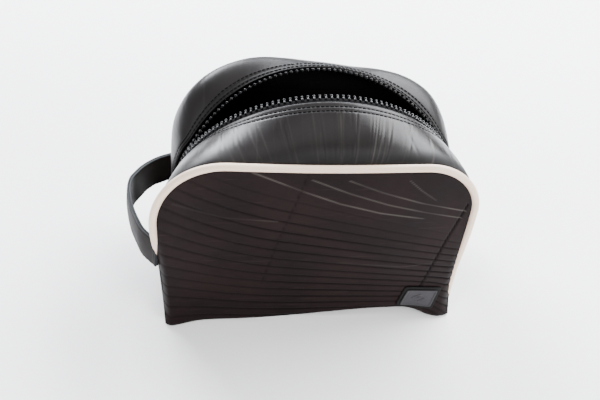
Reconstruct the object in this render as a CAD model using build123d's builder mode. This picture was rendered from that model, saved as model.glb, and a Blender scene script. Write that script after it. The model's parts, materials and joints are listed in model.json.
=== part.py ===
"""Wash bag (shaving kit bag) of sheet rubber with a zipped top, cream piping and a side grab handle.

Units are millimetres.  The origin is the centre of the base, +X runs to the right along the bag,
+Y to the back and +Z up.  The bag stands open: both zip lips are tipped away from each other about a
line through the two corners of the mouth, and the slider is parked at the right-hand end.
"""

import os
from math import acos, cos, degrees, radians, sin, sqrt

from build123d import *

os.makedirs("parts", exist_ok=True)

# ---- driving dimensions -------------------------------------------------------------------------
RUBBER = 2.4          # wall thickness of the sheet rubber
SEAM_GAP = 0.2        # clearance between sewn neighbours
HALF_DEPTH = 62.5     # centre of the bag to the outer face of the front or back panel

FRONT_X = -1.0        # middle of the front panel; the soft bag leans a little to its right
FRONT_HALF = 114.0    # half width of the front panel
FRONT_TOP = 148.6     # height of the front panel
BACK_X = 12.0
BACK_HALF = 110.0
BACK_TOP = 143.5
STRIP_SLACK = 0.8     # room between a strip's edge and the panel it is sewn to
SEAM_INSET = 1.6      # the top strips meet a panel this far inside its edge
SHOULDER_R = 44.0     # rounding of the panels' upper corners
FOOT_R = 12.0         # rounding of the panels' lower corners
GUSSET_TOP = 79.0     # the side gussets end here and the top strips begin
LEFT_WAIST_X = -103.5   # outer face of the left gusset, half way back
RIGHT_WAIST_X = 118.5

PIPE_R = 2.8          # piping: cover and the cord inside it
PIPE_CORE_R = 1.6
FRONT_PIPE_SET = 0.6    # its middle, behind the front panel's outer face
BACK_PIPE_PROUD = 0.8   # the rolled top strip pushes it out behind the back panel
PIPE_FOOT = 16.0      # the piping stops here, just above the foot

# ---- zip: a circular arc in the XZ plane when it is closed ---------------------------------------
ZIP_R = 112.0
ZIP_X = 8.0
ZIP_Z = 68.6          # height of the arc's centre
MOUTH_Z = 120.4       # height of the line through the mouth's two corners
FRONT_LEAN = 15.0     # degrees that the open front lip is tipped forward
BACK_LEAN = 34.5      # degrees that the open back lip is tipped back
TAIL_DEG = 80.0       # the chain runs this far each side of the top
STRIP_DEG = 84.0      # the top strips run this far each side of the top
MOUTH_DEG = degrees(acos((MOUTH_Z - ZIP_Z) / ZIP_R))   # half angle of the open stretch
SEAM_DEPTH = HALF_DEPTH - RUBBER - SEAM_GAP   # the band between the panels reaches this far
FRONT_LEFT = FRONT_X - FRONT_HALF
FRONT_RIGHT = FRONT_X + FRONT_HALF
BACK_LEFT = BACK_X - BACK_HALF
BACK_RIGHT = BACK_X + BACK_HALF

TAPE_T = 0.7
TAPE_IN = 3.1         # the tape starts at the back of the teeth
TAPE_OUT = 12.0
STRIP_IN = 7.2        # the rubber strip's edge, from the middle of the chain
FLAT_BELLY = 0.6      # the least that a top strip arches, at its ends
STRIP_LIFT = 1.3      # the strip lies this far above the tape's middle

TOOTH_L = 1.7         # along the chain
TOOTH_T = 2.4         # through the chain
TOOTH_PITCH = 4.2
TOOTH_TIP = 0.9       # how far a tooth reaches past the middle when it is meshed
TAIL_TIP = 0.7        # how far short of the middle the parted tail teeth stop

# ---- slider and pull ------------------------------------------------------------------------------
PARK_DEG = 75.0
SLIDER_L = 14.0
SLIDER_W = 9.2
PLATE_T = 1.2
CHANNEL = 1.6         # half height of the channel between the plates
SLOT = 0.7            # half height of the slot that the tape passes through
PIN_R = 0.7
PIN_RISE = 4.8        # hinge pin above the middle of the chain
LINK_L = 8.0
TAB_L = 21.0
TAB_W = 7.0

# ---- handle, label, lining ------------------------------------------------------------------------
HANDLE_W = 26.0       # height of the strap
HANDLE_LAYER = 1.6
HANDLE_SLOPE = 8.0    # the strap falls towards the back by this many degrees
HANDLE_Z = 52.0       # lower edge of the strap, half way back

LABEL_X = 91.5
LABEL_Z = 19.5
LABEL_W = 30.0
LABEL_H = 21.0
LABEL_T = 1.0
LABEL_PLATE_T = 0.6

LINING_T = 0.6
LINING_GAP = 0.3      # between the lining and the rubber beside it
LINING_INSET = 7.0
BOARD_T = 1.6


# ---- shared geometry ------------------------------------------------------------------------------
def seam_point(angle, mid_x, half, top, inset, y):
    """Point where a ray from the zip's centre at this angle from the top meets a panel's edge."""
    side = 1 if angle >= 0 else -1
    wide = half - inset
    high = top - inset
    round_r = SHOULDER_R - inset
    dx = sin(radians(angle))
    dz = cos(radians(angle))
    reach = high - ZIP_Z
    x = ZIP_X + reach * dx / dz
    if abs(x - mid_x) <= wide - round_r:
        return Vector(x, y, high)
    edge_x = mid_x + side * wide
    z = ZIP_Z + (edge_x - ZIP_X) * dz / dx
    if z <= high - round_r:
        return Vector(edge_x, y, z)
    corner_x = mid_x + side * (wide - round_r) - ZIP_X
    corner_z = high - round_r - ZIP_Z
    along = corner_x * dx + corner_z * dz
    off_sq = corner_x**2 + corner_z**2 - along**2
    reach = along + sqrt(round_r**2 - off_sq)
    return Vector(ZIP_X + reach * dx, y, ZIP_Z + reach * dz)


def lip_point(angle, lean, off, lift):
    """Point beside the chain: off along the tape, lift out of it; lean is in degrees, + to the back."""
    facing = 1 if lean > 0 else -1
    x = ZIP_X + (ZIP_R + lift) * sin(radians(angle))
    rise = ZIP_Z + (ZIP_R + lift) * cos(radians(angle)) - MOUTH_Z
    away = facing * off
    tip = radians(lean) if abs(angle) < MOUTH_DEG else 0.0
    y = away * cos(tip) + rise * sin(tip)
    z = MOUTH_Z + rise * cos(tip) - away * sin(tip)
    return Vector(x, y, z)


def chain_plane(lean):
    """Plane of one half of the chain, origin at the middle of the mouth line, normal along its tape."""
    tip = radians(lean)
    facing = 1 if lean > 0 else -1
    return Plane(
        origin=(ZIP_X, 0, MOUTH_Z),
        x_dir=(-facing, 0, 0),
        z_dir=(0, facing * cos(tip), -facing * sin(tip)),
    )


def shut_plane(facing):
    """The same plane with the lip upright, for the ends of the chain that never part."""
    return Plane(origin=(ZIP_X, 0, MOUTH_Z), x_dir=(-facing, 0, 0), z_dir=(0, facing, 0))


def band_sector(mid_r, thick, start, end):
    """Flat ring sector about the zip's centre, angles in degrees from the top towards local +x."""
    centre = (0, ZIP_Z - MOUTH_Z)
    inner_r = mid_r - thick / 2
    outer_r = mid_r + thick / 2
    with BuildSketch() as sector:
        with BuildLine():
            inner = CenterArc(centre, inner_r, 90 - end, end - start)
            outer = CenterArc(centre, outer_r, 90 - end, end - start)
            Line(inner @ 0, outer @ 0)
            Line(inner @ 1, outer @ 1)
        make_face()
    return sector.sketch


def strip_plane(angle, lean, mid_x, half, top):
    """Plane across a top strip, from its lip along local x to its seam, and the distance between."""
    facing = 1 if lean > 0 else -1
    lip = lip_point(angle, lean, STRIP_IN, STRIP_LIFT + RUBBER)
    seam = seam_point(angle, mid_x, half, top, SEAM_INSET, facing * (SEAM_DEPTH - STRIP_SLACK))
    chord = seam - lip
    outward = Vector(sin(radians(angle)), 0, cos(radians(angle)))
    return Plane(origin=lip, x_dir=chord, z_dir=chord.cross(outward)), chord.length


def strip_profile(length, belly):
    """Cross-section of a top strip: an arched sheet, local y is out of the bag."""
    with BuildSketch() as profile:
        with BuildLine():
            ThreePointArc((0, 0), (length / 2, belly), (length, 0))
            Line((length, 0), (length, -RUBBER))
            ThreePointArc((length, -RUBBER), (length / 2, belly - RUBBER), (0, -RUBBER))
            Line((0, -RUBBER), (0, 0))
        make_face()
    return profile.sketch


def panel_outline(mid_x, half, top, inset):
    """Closed outline of a front or back panel, drawn in by inset."""
    corners = (
        (mid_x - half + inset, inset),
        (mid_x - half + inset, top - inset),
        (mid_x + half - inset, top - inset),
        (mid_x + half - inset, inset),
    )
    rounding = [FOOT_R - inset, SHOULDER_R - inset, SHOULDER_R - inset, FOOT_R - inset]
    with BuildSketch() as outline:
        with BuildLine():
            FilletPolyline(*corners, radius=rounding, close=True)
        make_face()
    return outline.sketch


def gusset_profile(front_x, waist_x, back_x, depth, step):
    """Plan of a side gusset: an arc from the front seam to the back seam, step thick towards +X."""
    with BuildSketch() as plan:
        with BuildLine():
            ThreePointArc((front_x, -depth), (waist_x, 0), (back_x, depth))
            Line((back_x, depth), (back_x + step, depth))
            ThreePointArc((back_x + step, depth), (waist_x + step, 0), (front_x + step, -depth))
            Line((front_x + step, -depth), (front_x, -depth))
        make_face()
    return plan.sketch


def finish(piece, name):
    """Label a finished piece and write its STEP file."""
    piece.part.label = name
    export_step(piece.part, f"parts/{name}.step")


# ---- front and back panels ------------------------------------------------------------------------
PANELS = {
    "front": (Plane.XZ.offset(HALF_DEPTH), FRONT_X, FRONT_HALF, FRONT_TOP),
    "back": (Plane.XZ.offset(-HALF_DEPTH + RUBBER), BACK_X, BACK_HALF, BACK_TOP),
}
for side, (face, mid_x, half, top) in PANELS.items():
    with BuildPart() as panel:
        with BuildSketch(face):
            add(panel_outline(mid_x, half, top, 0.0))
        extrude(amount=-RUBBER)
    finish(panel, f"{side}_panel")

# ---- piping: a cream cover with a round cord inside, up one side, over the top and down the other ---
PIPE_OUT = PIPE_R + 0.1
for side, y in (
    ("front", -HALF_DEPTH + FRONT_PIPE_SET),
    ("back", HALF_DEPTH + BACK_PIPE_PROUD),
):
    _, mid_x, half, top = PANELS[side]
    reach = half + PIPE_OUT
    with BuildLine(Plane.XZ.offset(-y)) as route:
        FilletPolyline(
            (mid_x - reach, PIPE_FOOT),
            (mid_x - reach, top + PIPE_OUT),
            (mid_x + reach, top + PIPE_OUT),
            (mid_x + reach, PIPE_FOOT),
            radius=SHOULDER_R + PIPE_OUT,
        )
    with BuildPart() as piping:
        with BuildSketch(Plane(origin=route.line @ 0, z_dir=route.line % 0)):
            Circle(PIPE_R)
            Circle(PIPE_CORE_R + 0.05, mode=Mode.SUBTRACT)
        sweep(path=route.line)
    finish(piping, f"{side}_piping")
    with BuildPart() as piping_cord:
        with BuildSketch(Plane(origin=route.line @ 0, z_dir=route.line % 0)):
            Circle(PIPE_CORE_R)
        sweep(path=route.line)
    finish(piping_cord, f"{side}_piping_cord")

# ---- base: flat underneath, turned up at each end to meet the gussets ------------------------------
with BuildPart() as base_panel:
    with BuildSketch():
        with BuildLine():
            Polyline(
                (FRONT_LEFT + FOOT_R, -SEAM_DEPTH),
                (FRONT_RIGHT - FOOT_R, -SEAM_DEPTH),
                (BACK_RIGHT - FOOT_R, SEAM_DEPTH),
                (BACK_LEFT + FOOT_R, SEAM_DEPTH),
                close=True,
            )
        make_face()
    extrude(amount=RUBBER)
    for side in (-1, 1):
        for y, end_x in (
            (-SEAM_DEPTH, FRONT_X + side * FRONT_HALF),
            (SEAM_DEPTH, BACK_X + side * BACK_HALF),
        ):
            hub = (end_x - side * FOOT_R, FOOT_R)
            first = 180 if side < 0 else 270
            with BuildSketch(Plane.XZ.offset(-y)):
                with BuildLine():
                    outer = CenterArc(hub, FOOT_R, first, 90)
                    inner = CenterArc(hub, FOOT_R - RUBBER, first, 90)
                    Line(outer @ 0, inner @ 0)
                    Line(outer @ 1, inner @ 1)
                make_face()
        loft(ruled=True)
finish(base_panel, "base_panel")

# ---- side gussets: lofted from the turned-up base to a waisted top ----------------------------------
GUSSETS = {
    "left": (FRONT_LEFT, LEFT_WAIST_X, BACK_LEFT, 1),
    "right": (FRONT_RIGHT, RIGHT_WAIST_X, BACK_RIGHT, -1),
}
for side, (front_x, waist_x, back_x, inner) in GUSSETS.items():
    straight_x = (front_x + back_x) / 2 - inner * 0.2
    foot_z = FOOT_R + SEAM_GAP
    with BuildPart() as gusset:
        for z, middle_x in ((foot_z, straight_x), (GUSSET_TOP, waist_x)):
            with BuildSketch(Plane.XY.offset(z)):
                add(gusset_profile(front_x, middle_x, back_x, SEAM_DEPTH, inner * RUBBER))
        loft()
    finish(gusset, f"{side}_gusset")
    skin_gap = inner * (RUBBER + 0.5)
    with BuildPart() as gusset_lining:
        for z, middle_x in ((foot_z, straight_x), (GUSSET_TOP - 1, waist_x)):
            with BuildSketch(Plane.XY.offset(z)):
                edges = (front_x + skin_gap, middle_x + skin_gap, back_x + skin_gap)
                add(gusset_profile(*edges, SEAM_DEPTH - 1.0, inner * LINING_T))
        loft()
    finish(gusset_lining, f"{side}_lining")

# ---- top strips: arched sheets from the panels' seams to the zip ------------------------------------
STRIPS = {
    "front": (-FRONT_LEAN, FRONT_X, FRONT_HALF, FRONT_TOP, 6.0),
    "back": (BACK_LEAN, BACK_X, BACK_HALF, BACK_TOP, 7.0),
}
STATIONS = (-STRIP_DEG, -73, -66, -54, -40, -20, 0, 20, 40, 54, 66, 73, STRIP_DEG)
for side, (lean, mid_x, half, top, belly) in STRIPS.items():
    with BuildPart() as strip:
        for angle in STATIONS:
            across, length = strip_plane(angle, lean, mid_x, half, top)
            with BuildSketch(across):
                fullness = 1 - (angle / STRIP_DEG) ** 4
                add(strip_profile(length, FLAT_BELLY + belly * fullness))
        loft()
    finish(strip, f"{side}_top_strip")

# ---- zip: tapes and teeth of the two lips -----------------------------------------------------------
TOOTH_STEP = degrees(TOOTH_PITCH / ZIP_R)
LIP_TEETH = int(2 * (MOUTH_DEG - 0.6) / TOOTH_STEP)
for side, lean in (("front", -FRONT_LEAN), ("back", BACK_LEAN)):
    facing = 1 if lean > 0 else -1
    half_plane = chain_plane(lean)
    with BuildPart() as tape:
        with BuildSketch(half_plane.offset(TAPE_IN)):
            add(band_sector(ZIP_R, TAPE_T, -MOUTH_DEG + 0.2, MOUTH_DEG - 0.2))
        extrude(amount=TAPE_OUT - TAPE_IN)
    finish(tape, f"{side}_zip_tape")
    # the back row is set half a pitch along, so that the two rows mesh
    first = -(LIP_TEETH - 1) / 2 * TOOTH_STEP + facing * TOOTH_STEP / 4
    with BuildPart() as teeth:
        with BuildSketch(half_plane.offset(-TOOTH_TIP)):
            with Locations((0, ZIP_Z - MOUTH_Z)):
                for i in range(LIP_TEETH):
                    turn = -facing * (first + i * TOOTH_STEP)
                    with PolarLocations(ZIP_R, 1, start_angle=90 - turn):
                        Rectangle(TOOTH_T, TOOTH_L)
        extrude(amount=TOOTH_TIP + TAPE_IN - 0.1)
    finish(teeth, f"{side}_zip_teeth")

# ---- zip tails: the ends of the chain beyond the mouth's corners, which stay side by side -----------
TAIL_TEETH = int((TAIL_DEG - MOUTH_DEG - 0.6) / TOOTH_STEP)
for side, end in (("left", -1), ("right", 1)):
    with BuildPart() as tail_tape:
        for facing in (-1, 1):
            low, high = sorted((-facing * end * (MOUTH_DEG + 0.4), -facing * end * TAIL_DEG))
            with BuildSketch(shut_plane(facing).offset(TAPE_IN)):
                add(band_sector(ZIP_R, TAPE_T, low, high))
            extrude(amount=TAPE_OUT - TAPE_IN)
    finish(tail_tape, f"{side}_tail_tape")
    with BuildPart() as tail_teeth:
        for facing in (-1, 1):
            with BuildSketch(shut_plane(facing).offset(TAIL_TIP)):
                with Locations((0, ZIP_Z - MOUTH_Z)):
                    for i in range(TAIL_TEETH):
                        place = end * (MOUTH_DEG + 1.0 + i * TOOTH_STEP + facing * TOOTH_STEP / 4)
                        with PolarLocations(ZIP_R, 1, start_angle=90 + facing * place):
                            Rectangle(TOOTH_T, TOOTH_L)
            extrude(amount=TAPE_IN - 0.1 - TAIL_TIP)
    finish(tail_teeth, f"{side}_tail_teeth")


def chain_frame(angle, rise=0.0):
    """Plane on the closed chain: x along the chain to the right, y to the back, z out of the bag."""
    out = Vector(sin(radians(angle)), 0, cos(radians(angle)))
    along = Vector(cos(radians(angle)), 0, -sin(radians(angle)))
    origin = Vector(ZIP_X, 0, ZIP_Z) + out * (ZIP_R + rise)
    return Plane(origin=origin, x_dir=along, z_dir=out)


# ---- stops and end tabs ------------------------------------------------------------------------------
STOP_DEG = TAIL_DEG + 0.6
with BuildPart() as bottom_stop:
    with BuildSketch(chain_frame(STOP_DEG, -1.3)):
        RectangleRounded(2.0, 6.0, 0.6)
    extrude(amount=2.6)
finish(bottom_stop, "zip_bottom_stop")

with BuildPart() as top_stops:
    with BuildSketch(chain_frame(-STOP_DEG, -1.3)):
        with GridLocations(0, 3.6, 1, 2):
            RectangleRounded(2.0, 2.4, 0.6)
    extrude(amount=2.6)
finish(top_stops, "zip_top_stops")

for side, end in (("left", -1), ("right", 1)):
    with BuildPart() as end_tab:
        with BuildSketch(chain_frame(end * (STRIP_DEG - 1.4), -0.7)):
            RectangleRounded(4.0, 13.4, 0.8)
        extrude(amount=1.4)
    finish(end_tab, f"{side}_zip_tab")

# ---- slider, its hinge pin, and the pull ---------------------------------------------------------------
FLANGE_T = 0.9
LUG_T = 1.2
LUG_PITCH = 5.2
pin_mid = chain_frame(PARK_DEG, PIN_RISE)
pin_plane = Plane(origin=pin_mid.origin, x_dir=pin_mid.x_dir, z_dir=(0, 1, 0))
with BuildPart() as slider:
    for rise in (CHANNEL, -CHANNEL - PLATE_T):
        with BuildSketch(chain_frame(PARK_DEG, rise)):
            RectangleRounded(SLIDER_L, SLIDER_W, 2.2)
        extrude(amount=PLATE_T)
    for rise in (SLOT, -CHANNEL):
        with BuildSketch(chain_frame(PARK_DEG, rise)):
            with GridLocations(0, SLIDER_W - FLANGE_T, 1, 2):
                Rectangle(SLIDER_L - 5.0, FLANGE_T)
        extrude(amount=CHANNEL - SLOT)
    with BuildSketch(chain_frame(PARK_DEG, -CHANNEL)):
        with Locations((-SLIDER_L / 2 + 3.0, 0)):
            Rectangle(3.0, 1.0)
    extrude(amount=2 * CHANNEL)
    with BuildSketch(chain_frame(PARK_DEG, CHANNEL + PLATE_T)):
        with GridLocations(0, LUG_PITCH, 1, 2):
            Rectangle(4.0, LUG_T)
    extrude(amount=PIN_RISE + 1.3 - CHANNEL - PLATE_T)
    with BuildSketch(pin_plane):
        Circle(PIN_R)
    extrude(amount=LUG_PITCH / 2, both=True)
finish(slider, "zip_slider")

LINK_W = LUG_PITCH - LUG_T - 0.4
EYE_R = 1.6
with BuildPart() as link:
    with BuildSketch(pin_plane):
        Circle(EYE_R)
        with Locations((LINK_L / 2, 0)):
            Rectangle(LINK_L, 1.2)
        Circle(PIN_R + 0.08, mode=Mode.SUBTRACT)
    extrude(amount=LINK_W / 2, both=True)
finish(link, "pull_link")

TAB_T = 2.0
with BuildPart() as tab:
    with BuildSketch(chain_frame(PARK_DEG, PIN_RISE - TAB_T / 2)):
        with Locations((LINK_L + 0.05 + TAB_L / 2, 0)):
            RectangleRounded(TAB_L, TAB_W, 2.0)
    extrude(amount=TAB_T)
finish(tab, "pull_tab")

# ---- grab handle: two layers of strap looped across the left end -------------------------------------
handle_tip = radians(HANDLE_SLOPE)
handle_plane = Plane(
    origin=(0, 0, HANDLE_Z), x_dir=(1, 0, 0), z_dir=(0, sin(handle_tip), cos(handle_tip))
)
HANDLE_FRONT = (FRONT_LEFT - 2.2, -SEAM_DEPTH + 3.4)
HANDLE_MID = (-140.0, -2.0)
HANDLE_BACK = (BACK_LEFT - 2.2, SEAM_DEPTH - 4.0)
for layer, step in (("outer", 1), ("inner", -1)):
    with BuildPart() as strap:
        with BuildSketch(handle_plane):
            with BuildLine():
                middle = ThreePointArc(HANDLE_FRONT, HANDLE_MID, HANDLE_BACK)
                shift = (middle.radius + step * HANDLE_LAYER) / middle.radius
                ends = [Vector(*p) for p in (HANDLE_FRONT, HANDLE_MID, HANDLE_BACK)]
                hub = middle.arc_center
                far = [hub + (p - hub) * shift for p in ends]
                ThreePointArc(*far)
                Line(ends[0], far[0])
                Line(ends[2], far[2])
            make_face()
        extrude(amount=HANDLE_W)
    finish(strap, f"handle_{layer}")

# ---- label low on the right of the front ---------------------------------------------------------------
label_face = Plane.XZ.offset(HALF_DEPTH)
with BuildPart() as label:
    with BuildSketch(label_face):
        with Locations((LABEL_X, LABEL_Z)):
            RectangleRounded(LABEL_W, LABEL_H, 1.5)
    extrude(amount=LABEL_T)
finish(label, "label_patch")

with BuildPart() as label_plate:
    with BuildSketch(label_face.offset(LABEL_T)):
        with Locations((LABEL_X, LABEL_Z)):
            RectangleRounded(LABEL_W - 5, LABEL_H - 5, 1.0)
    extrude(amount=LABEL_PLATE_T)
finish(label_plate, "label_plate")

# ---- lining and base board inside ------------------------------------------------------------------------
for side, y in (
    ("front", -SEAM_DEPTH + LINING_GAP),
    ("back", SEAM_DEPTH - LINING_GAP - LINING_T),
):
    _, mid_x, half, top = PANELS[side]
    with BuildPart() as lining:
        with BuildSketch(Plane.XZ.offset(-y)):
            add(panel_outline(mid_x, half, top, LINING_INSET))
        extrude(amount=-LINING_T)
    finish(lining, f"{side}_lining")

SLEW_PER_MM = (BACK_X - FRONT_X) / (2 * SEAM_DEPTH)
FLOOR_HALF = BACK_HALF - FOOT_R
for name, floor_z, thick, trim in (
    ("base_board", RUBBER + 0.1, BOARD_T, 6.0),
    ("base_lining", RUBBER + BOARD_T + 0.2, LINING_T, 2.0),
):
    depth = SEAM_DEPTH - trim
    with BuildPart() as floor:
        with BuildSketch(Plane.XY.offset(floor_z)):
            with BuildLine():
                middle_x = (FRONT_X + BACK_X) / 2
                slew = SLEW_PER_MM * depth
                Polyline(
                    (middle_x - slew - FLOOR_HALF, -depth),
                    (middle_x - slew + FLOOR_HALF, -depth),
                    (middle_x + slew + FLOOR_HALF, depth),
                    (middle_x + slew - FLOOR_HALF, depth),
                    close=True,
                )
            make_face()
            fillet(vertices(), 5.0)
        extrude(amount=thick)
    finish(floor, name)
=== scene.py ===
"""Looks of the wash bag: rubber shell, cream piping, moulded zip, grab handle, label and lining."""

import json
import math

import bmesh
import bpy
import numpy as np
from mathutils import Matrix, Vector


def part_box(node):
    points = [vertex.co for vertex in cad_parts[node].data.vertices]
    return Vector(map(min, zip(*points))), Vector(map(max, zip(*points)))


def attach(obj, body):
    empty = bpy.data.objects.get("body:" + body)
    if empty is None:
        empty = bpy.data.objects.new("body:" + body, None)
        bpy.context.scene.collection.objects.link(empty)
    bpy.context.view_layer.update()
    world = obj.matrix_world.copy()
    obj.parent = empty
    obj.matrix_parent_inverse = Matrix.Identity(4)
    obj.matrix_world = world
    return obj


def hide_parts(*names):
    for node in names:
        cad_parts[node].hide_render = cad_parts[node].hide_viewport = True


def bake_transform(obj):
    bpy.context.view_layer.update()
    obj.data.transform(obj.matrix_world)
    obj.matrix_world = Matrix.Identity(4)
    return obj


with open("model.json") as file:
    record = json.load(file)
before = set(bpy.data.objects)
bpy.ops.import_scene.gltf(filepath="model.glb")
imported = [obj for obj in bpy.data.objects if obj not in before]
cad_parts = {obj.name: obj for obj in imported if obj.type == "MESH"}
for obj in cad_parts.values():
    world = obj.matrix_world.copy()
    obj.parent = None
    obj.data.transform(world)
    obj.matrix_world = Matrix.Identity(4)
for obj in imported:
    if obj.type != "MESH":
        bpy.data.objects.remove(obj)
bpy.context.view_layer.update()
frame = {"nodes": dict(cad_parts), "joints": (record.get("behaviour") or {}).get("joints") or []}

# ---- places and sizes from the frame, in millimetres ----
MM = 0.001  # metres


def box_mm(node):
    """Lowest and highest corner of a CAD node, in millimetres."""
    low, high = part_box(node)
    return np.array(low) / MM, np.array(high) / MM


joints = {j["name"]: j for j in frame["joints"]}
ZIP_X, _, ZIP_Z = np.array(joints["zip_travel"]["pos_m"]) / MM
MOUTH_Z = joints["front_lip_fold"]["pos_m"][2] / MM
LEAN = {
    "front": math.radians(min(joints["front_lip_fold"]["range_deg"])),
    "back": math.radians(max(joints["back_lip_fold"]["range_deg"])),
}
FACING = {"front": -1, "back": 1}
tape_low, tape_high = box_mm("front_zip_tape")
ZIP_R = math.hypot((tape_high[0] - tape_low[0]) / 2, MOUTH_Z - ZIP_Z)
ZIP_CENTRE = np.array([ZIP_X, 0.0, ZIP_Z])
GUSSET_TOP = box_mm("left_gusset")[1][2]
HALF_DEPTH = abs(box_mm("front_panel")[0][1])

RUBBER = 2.4  # thickness of the panels and strips
LINING_CLOTH = 0.6
PIPE_R = 2.8
CORE_R = 1.5  # cord inside the piping
TAIL_DEG = 80.0  # the teeth end this far round from the crown of the zip
STRIP_DEG = 84.0
TAPE_IN = 2.4  # edges of a zip tape, measured from the chain
TAPE_OUT = 12.0
TAPE_CLOTH = 0.7
TAPE_LIFT = 0.35
STRIP_IN = 8.0  # a strip's free edge, from the chain and above it
STRIP_LIFT = 3.0
TOOTH_PITCH = 4.2


# ---- small numeric helpers ----
def smooth(t):
    """Smoothstep of t, clipped to 0..1."""
    t = np.clip(t, 0.0, 1.0)
    return t * t * (3 - 2 * t)


def spline(x, knots, values):
    """Smooth curve through a few knots, flat beyond the ends."""
    knots = np.asarray(knots, float)
    values = np.asarray(values, float)
    slope = np.gradient(values, knots)
    x = np.clip(np.asarray(x, float), knots[0], knots[-1])
    i = np.clip(np.searchsorted(knots, x) - 1, 0, len(knots) - 2)
    h = knots[i + 1] - knots[i]
    t = (x - knots[i]) / h
    a = (1 + 2 * t) * (1 - t) ** 2 * values[i] + t * (1 - t) ** 2 * h * slope[i]
    b = t * t * (3 - 2 * t) * values[i + 1] - t * t * (1 - t) * h * slope[i + 1]
    return a + b


def waves(x, y, seed, scale, count=7):
    """Gentle irregular undulation in -1..1, the same every run."""
    local = np.random.default_rng(seed)
    total = np.zeros(np.broadcast(x, y).shape)
    for _ in range(count):
        turn, phase = local.uniform(0, 2 * math.pi, 2)
        length = scale * local.uniform(0.6, 1.8)
        run = x * math.cos(turn) + y * math.sin(turn)
        total = total + np.sin(run * 2 * math.pi / length + phase)
    return total / count * 1.6


def unit(v):
    return v / np.maximum(np.linalg.norm(v, axis=-1, keepdims=True), 1e-9)


def ridge(distance, width):
    """Smooth bump of height 1 where distance is 0."""
    return np.exp(-((distance / width) ** 2))


def end_spacing(count, share):
    """Steps from 0 to 1; a share of the spacing is drawn together towards both ends."""
    drawn = 0.5 - 0.5 * np.cos(np.linspace(0, math.pi, count))
    return share * drawn + (1 - share) * np.linspace(0, 1, count)


def outward_from_zip(angle, sideways=0.0):
    """Direction away from the zip's centre at an angle from its crown, with a part along Y."""
    turn = np.radians(angle)
    return np.stack(np.broadcast_arrays(np.sin(turn), sideways, np.cos(turn)), -1)


# ---- outlines of the panels, as the soft bag really holds them ----
DRAW_IN_TOP = 85.0  # below this height the ends draw in
SLIP_TOP = 100.0  # below this height the seam slips back
SLIP_SPAN = 65.0
RUN_POINTS = 60  # points of each side, corner and top of an outline
RAY_POINTS = 900
RAY_FOOT = (14.0, 14.0)


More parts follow.
